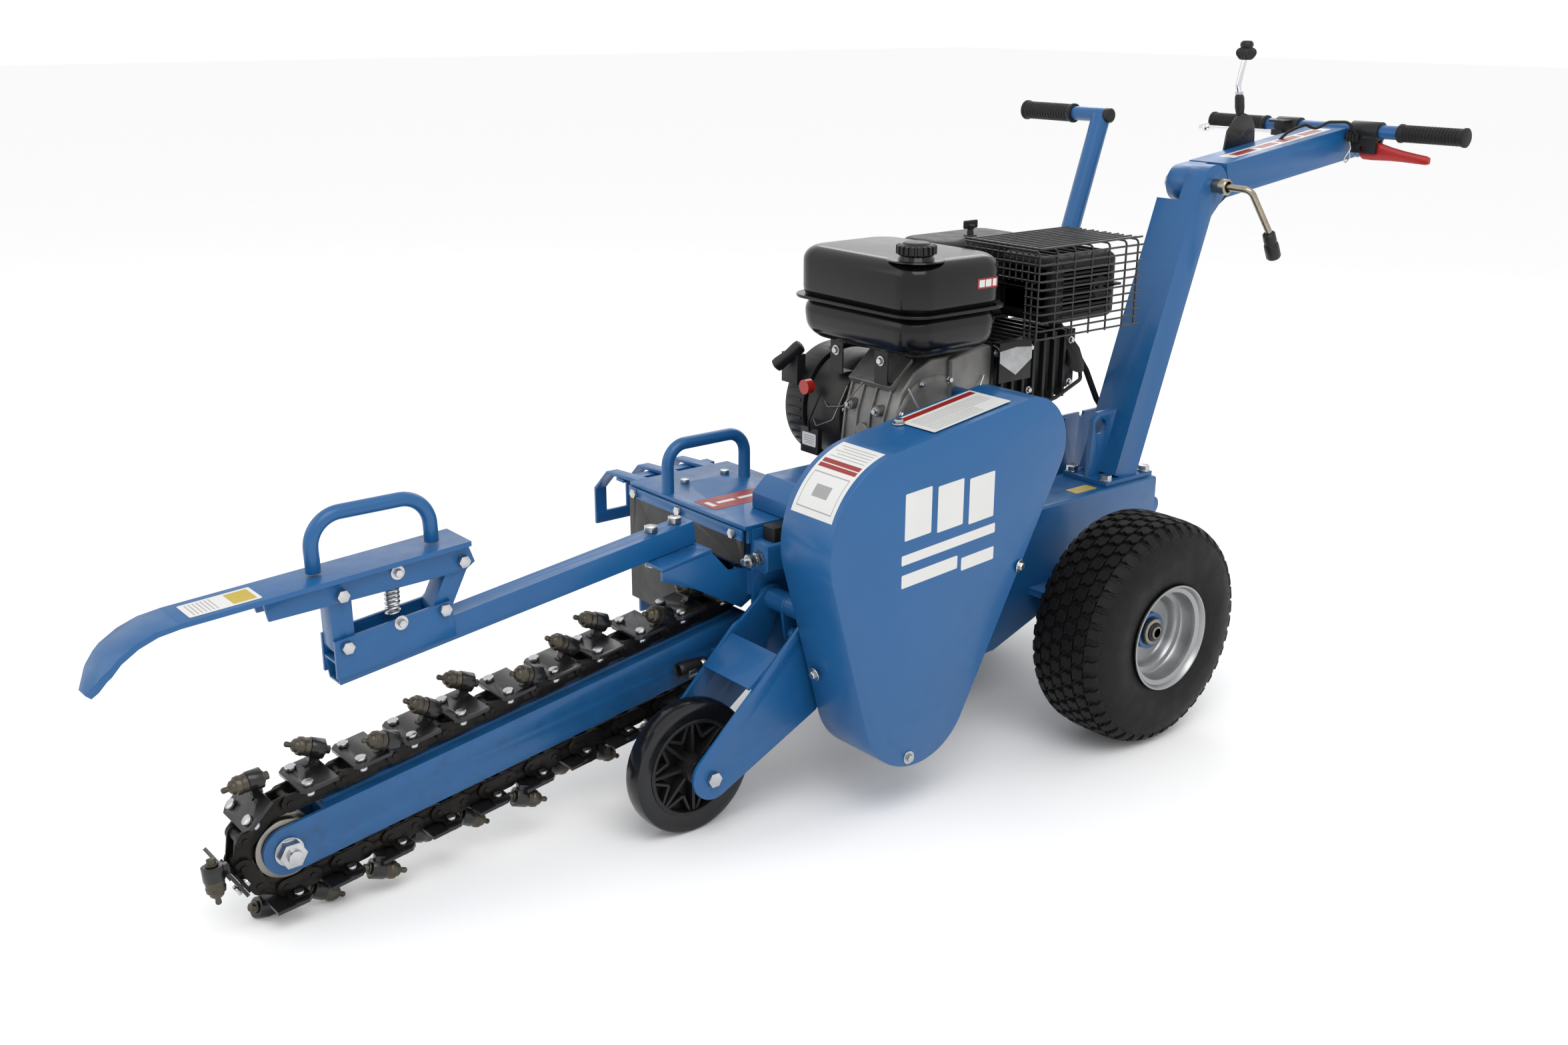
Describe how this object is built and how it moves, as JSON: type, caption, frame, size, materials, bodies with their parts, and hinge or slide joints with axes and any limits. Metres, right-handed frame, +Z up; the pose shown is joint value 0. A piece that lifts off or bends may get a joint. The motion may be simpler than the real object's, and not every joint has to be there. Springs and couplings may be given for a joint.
{
  "type": "walk-behind trencher",
  "caption": "Walk-behind trencher: engine-driven digging chain on a boom, trench cleaner, belt guard, depth lever, wheels and tilting handlebar.",
  "frame": {"origin": "on the ground below the middle of the rear axle", "axes": "+Z up, -X towards the boom tip, +X towards the handlebar, -Y the belt-guard side"},
  "size_m": [2.39, 0.774, 1.1082],
  "materials": {
    "blue_paint": "satin powder coat",
    "black_paint": "gloss black paint",
    "zinc": "zinc plate",
    "steel": "bare steel",
    "chain_steel": "oiled dark steel",
    "bit_steel": "heat-treated steel",
    "chrome": "polished",
    "aluminium": "cast, matt",
    "iron": "cast",
    "rubber": "matt",
    "tyre": "ribbed",
    "tank_paint": "gloss black paint",
    "black_plastic": "fine grain",
    "red_plastic": "gloss"
  },
  "bodies": {
    "chassis": {"main_frame": "blue_paint", "column": "blue_paint", "hood_cover": "blue_paint", "rubber_flap": "rubber", "clamp_bar": "blue_paint", "spoil_deflector": "blue_paint", "bearing_cover": "blue_paint", "machine_bolts": "zinc", "rubber_mounts": "rubber", "boom_bar": "blue_paint", "chain_inner_links": "chain_steel", "chain_outer_links": "chain_steel", "tooth_plates": "black_paint", "tooth_bolts": "zinc", "bullet_teeth": "bit_steel", "head_shaft": "steel", "gearcase": "black_paint", "pulleys": "iron", "belts": "rubber", "belt_guard": "blue_paint", "guard_back": "blue_paint", "cleaner_bar": "blue_paint", "cleaner_spring": "zinc", "axle": "steel", "engine_block": "aluminium", "recoil_housing": "black_plastic", "fuel_tank": "tank_paint", "muffler": "steel", "muffler_cage": "black_paint", "air_cleaner": "black_plastic", "control_cables": "black_plastic"},
    "idler": {"idler": "steel"},
    "crankshaft": {"crankshaft": "steel"},
    "wheel_near": {"rear_tyre_near": "tyre", "rear_rim_near": "zinc"},
    "wheel_far": {"rear_tyre_far": "tyre", "rear_rim_far": "zinc"},
    "fork": {"fork": "blue_paint", "front_axle": "zinc"},
    "front_wheel": {"front_tyre": "rubber", "front_hub": "black_plastic"},
    "depth_lever": {"depth_lever": "blue_paint", "lever_grip": "rubber"},
    "link_rod": {"link_rod": "blue_paint"},
    "front_link": {"front_link": "blue_paint"},
    "rear_link": {"rear_link": "blue_paint"},
    "shoe": {"shoe": "blue_paint", "shoe_pins": "zinc"},
    "tilt_arm": {"tilt_arm": "blue_paint", "handlebar": "blue_paint", "grips": "rubber", "lever_mounts": "black_plastic", "quadrant": "black_paint"},
    "clamp_lever": {"clamp_lever": "black_plastic"},
    "stop_lever": {"stop_lever": "red_plastic"},
    "park_lever": {"park_lever": "chrome"},
    "throttle_lever": {"throttle_lever": "black_paint"},
    "starter_handle": {"starter_handle": "black_plastic"},
    "fuel_cap": {"fuel_cap": "black_plastic"},
    "engine_switch": {"engine_switch": "red_plastic"}
  },
  "joints": [
    {"name": "wheel_near_spin", "type": "hinge", "parent": "chassis", "child": "wheel_near", "pos_m": [0, -0.233, 0.1905], "axis": [0, 1, 0], "continuous": true},
    {"name": "wheel_far_spin", "type": "hinge", "parent": "chassis", "child": "wheel_far", "pos_m": [0, 0.233, 0.1905], "axis": [0, 1, 0], "continuous": true},
    {"name": "depth_swing", "type": "hinge", "parent": "chassis", "child": "depth_lever", "pos_m": [0.226, 0.162, 0.332], "axis": [0, 1, 0], "range_deg": [0, 50]},
    {"name": "fork_swing", "type": "hinge", "parent": "chassis", "child": "fork", "pos_m": [-0.577, 0, 0.303], "axis": [0, 1, 0], "range_deg": [0, 50]},
    {"name": "rod_swing", "type": "hinge", "parent": "depth_lever", "child": "link_rod", "pos_m": [0.226, -0.045, 0.287], "axis": [0, 1, 0], "range_deg": [-50, 0]},
    {"name": "front_wheel_spin", "type": "hinge", "parent": "fork", "child": "front_wheel", "pos_m": [-0.777, -0.045, 0.1027], "axis": [0, 1, 0], "continuous": true},
    {"name": "idler_spin", "type": "hinge", "parent": "chassis", "child": "idler", "pos_m": [-1.343, 0.095, 0.11], "axis": [0, 1, 0], "continuous": true},
    {"name": "crank_spin", "type": "hinge", "parent": "chassis", "child": "crankshaft", "pos_m": [-0.268, 0, 0.53], "axis": [0, 1, 0], "continuous": true},
    {"name": "handle_tilt", "type": "hinge", "parent": "chassis", "child": "tilt_arm", "pos_m": [0.38, 0, 0.867], "axis": [0, 1, 0], "range_deg": [-35, 20]},
    {"name": "clamp_turn", "type": "hinge", "parent": "chassis", "child": "clamp_lever", "pos_m": [0.38, 0, 0.867], "axis": [0, 1, 0], "range_deg": [-90, 20]},
    {"name": "stop_squeeze", "type": "hinge", "parent": "tilt_arm", "child": "stop_lever", "pos_m": [0.788, -0.075, 0.914], "axis": [-1, 0, 0], "range_deg": [0, 5], "stiffness_Nm_per_rad": 1.5, "springref_deg": -11.46},
    {"name": "park_turn", "type": "hinge", "parent": "tilt_arm", "child": "park_lever", "pos_m": [0.758, 0.097, 0.936], "axis": [0, 0, 1], "range_deg": [0, 30]},
    {"name": "throttle_turn", "type": "hinge", "parent": "tilt_arm", "child": "throttle_lever", "pos_m": [0.564, 0.048, 0.94], "axis": [0, 1, 0], "range_deg": [-20, 30]},
    {"name": "cleaner_swing", "type": "hinge", "parent": "chassis", "child": "front_link", "pos_m": [-1.237, 0.095, 0.369], "axis": [0, 1, 0], "range_deg": [-3, 3]},
    {"name": "cleaner_follow", "type": "hinge", "parent": "chassis", "child": "rear_link", "pos_m": [-1.095, 0.095, 0.388], "axis": [0, 1, 0], "range_deg": [-3.6, 3.6]},
    {"name": "shoe_float", "type": "hinge", "parent": "front_link", "child": "shoe", "pos_m": [-1.238, 0.095, 0.441], "axis": [0, 1, 0], "range_deg": [-2.4, 2.4]},
    {"name": "starter_pull", "type": "slide", "parent": "chassis", "child": "starter_handle", "axis": [-1, 0, 0], "range_m": [0, 0.6], "stiffness_N_per_m": 20, "springref_m": -0.5},
    {"name": "cap_turn", "type": "hinge", "parent": "chassis", "child": "fuel_cap", "pos_m": [-0.345, -0.045, 0.822], "axis": [0, 0, 1], "range_deg": [0, 90]},
    {"name": "switch_turn", "type": "hinge", "parent": "chassis", "child": "engine_switch", "pos_m": [-0.376, 0.17, 0.575], "axis": [1, 0, 0], "range_deg": [-45, 45]}
  ],
  "couplings": [
    {"joint": "fork_swing", "follows": "depth_swing", "ratio": 1},
    {"joint": "rod_swing", "follows": "depth_swing", "ratio": -1},
    {"joint": "cleaner_follow", "follows": "cleaner_swing", "ratio": 1.1938},
    {"joint": "shoe_float", "follows": "cleaner_swing", "ratio": -0.776}
  ]
}
